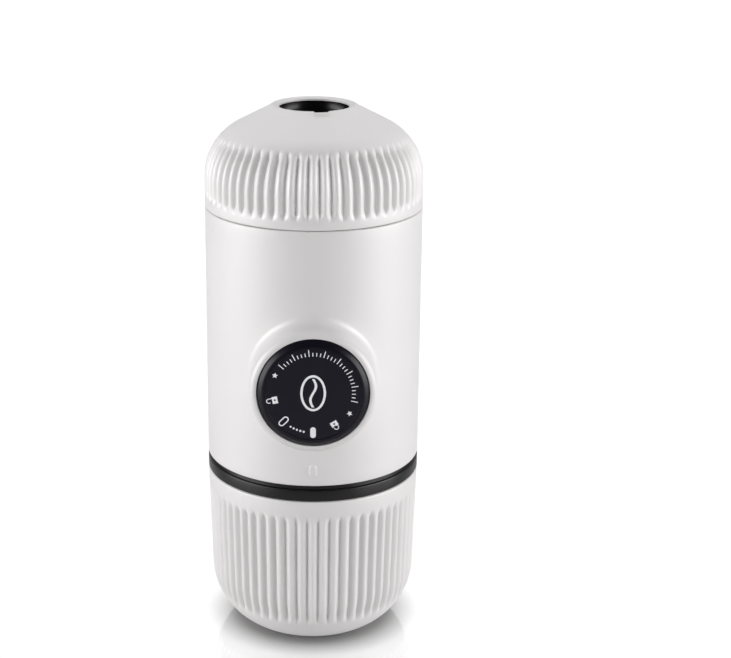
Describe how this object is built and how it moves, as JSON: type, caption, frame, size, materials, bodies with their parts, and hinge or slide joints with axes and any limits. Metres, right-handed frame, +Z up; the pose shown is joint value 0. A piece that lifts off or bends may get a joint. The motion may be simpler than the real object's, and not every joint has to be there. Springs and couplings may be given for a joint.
{
  "type": "manual espresso maker",
  "caption": "Handheld manual espresso maker: round white body with a turn-to-lock pump knob, ribbed screw-on brewing head above, black water tank and ribbed cup below.",
  "frame": {"origin": "centre of the cup's flat base, on the surface that the maker stands on", "axes": "+Z up along the round body, -Y towards the pump knob, +X to the right seen from the knob"},
  "size_m": [0.062, 0.071, 0.156],
  "materials": {
    "white_plastic": "satin white, moulded",
    "tank_plastic": "satin black",
    "knob_plastic": "satin black",
    "knob_face_plastic": "satin black with white marks",
    "dish_plastic": "glossy black",
    "black_plastic": "fine spark-eroded",
    "pump_plastic": "natural acetal",
    "silicone": "matt",
    "steel": "zinc plated",
    "spring_steel": "drawn wire",
    "polished_steel": "ground ball",
    "pressed_steel": "deep drawn"
  },
  "bodies": {
    "main_body": {"body_shell": "white_plastic", "lower_chassis": "black_plastic", "upper_chassis": "black_plastic", "frame_screws": "steel", "guide_sleeve": "black_plastic", "return_spring": "spring_steel", "pump_barrel": "pump_plastic", "barrel_cap": "pump_plastic", "barrel_screws": "steel", "rod_bush": "pump_plastic", "pump_cradle": "black_plastic", "cradle_screws": "steel", "inlet_filter": "pressed_steel", "inlet_seal": "silicone", "inlet_seat": "pump_plastic", "inlet_spring": "spring_steel", "outlet_seat": "pump_plastic", "outlet_spring": "spring_steel", "outlet_seal": "silicone", "air_valve": "silicone", "shower_screen": "pressed_steel", "shower_screw": "steel", "group_gasket": "silicone"},
    "plunger_unit": {"plunger": "pump_plastic", "plunger_seal": "silicone", "spring_seat": "black_plastic", "knob_washer": "steel", "knob_screw": "steel"},
    "knob_unit": {"knob": "knob_plastic", "knob_face": "knob_face_plastic"},
    "tank_seal_ring": {"tank_seal": "silicone"},
    "tank_unit": {"water_tank": "tank_plastic", "cup_o_ring": "silicone"},
    "cup_unit": {"drinking_cup": "white_plastic"},
    "head_seal_ring": {"head_seal": "silicone"},
    "head_unit": {"portafilter": "black_plastic", "head_cover": "white_plastic", "head_screws": "steel", "crema_spring": "spring_steel", "outlet_nozzle": "dish_plastic", "nozzle_screws": "steel", "nozzle_o_ring": "silicone", "outlet_dish": "dish_plastic"},
    "crema_poppet": {"crema_valve": "pump_plastic"},
    "basket_unit": {"filter_basket": "pressed_steel"},
    "scoop_unit": {"scoop": "black_plastic"},
    "inlet_ball_unit": {"inlet_ball": "polished_steel"},
    "outlet_ball_unit": {"outlet_ball": "polished_steel"}
  },
  "joints": [
    {"name": "piston_stroke", "type": "slide", "parent": "main_body", "child": "plunger_unit", "axis": [0, -1, 0], "range_m": [0, 0.02], "deforming": ["return_spring"]},
    {"name": "knob_turn", "type": "hinge", "parent": "plunger_unit", "child": "knob_unit", "pos_m": [0, -0.0372, 0.08365], "axis": [0, -1, 0], "range_deg": [0, 45]},
    {"name": "tank_drop", "type": "slide", "parent": "main_body", "child": "tank_seal_ring", "axis": [0, 0, -1], "range_m": [0, 0.009]},
    {"name": "tank_turn", "type": "hinge", "parent": "tank_seal_ring", "child": "tank_unit", "pos_m": [0, 0, 0.0617], "axis": [0, 0, -1], "range_deg": [0, 541]},
    {"name": "cup_pull", "type": "slide", "parent": "tank_unit", "child": "cup_unit", "axis": [0, 0, -1], "range_m": [0, 0.052]},
    {"name": "head_lift", "type": "slide", "parent": "main_body", "child": "head_seal_ring", "axis": [0, 0, 1], "range_m": [0, 0.018]},
    {"name": "head_turn", "type": "hinge", "parent": "head_seal_ring", "child": "head_unit", "pos_m": [0, 0, 0.1285], "axis": [0, 0, 1], "range_deg": [0, 1081]},
    {"name": "crema_lift", "type": "slide", "parent": "head_unit", "child": "crema_poppet", "axis": [0, 0, 1], "range_m": [0, 0.001], "stiffness_N_per_m": 20, "springref_m": -0.002, "deforming": ["crema_spring"]},
    {"name": "basket_lift", "type": "slide", "parent": "main_body", "child": "basket_unit", "axis": [0, 0, 1], "range_m": [0, 0.00901]},
    {"name": "scoop_lift", "type": "slide", "parent": "main_body", "child": "scoop_unit", "axis": [0, 0, 1], "range_m": [0, 0.00451]},
    {"name": "inlet_ball_lift", "type": "slide", "parent": "main_body", "child": "inlet_ball_unit", "axis": [0, 0, 1], "range_m": [0, 0.001], "stiffness_N_per_m": 20, "springref_m": -0.002, "deforming": ["inlet_spring"]},
    {"name": "outlet_ball_lift", "type": "slide", "parent": "main_body", "child": "outlet_ball_unit", "axis": [0, 0, 1], "range_m": [0, 0.001], "stiffness_N_per_m": 20, "springref_m": -0.002, "deforming": ["outlet_spring"]}
  ],
  "couplings": [
    {"joint": "tank_turn", "follows": "tank_drop", "rad_per_m": 1047.2},
    {"joint": "head_turn", "follows": "head_lift", "rad_per_m": 1047.2},
    {"joint": "basket_lift", "follows": "head_lift", "ratio": 0.5},
    {"joint": "scoop_lift", "follows": "head_lift", "ratio": 0.25}
  ]
}
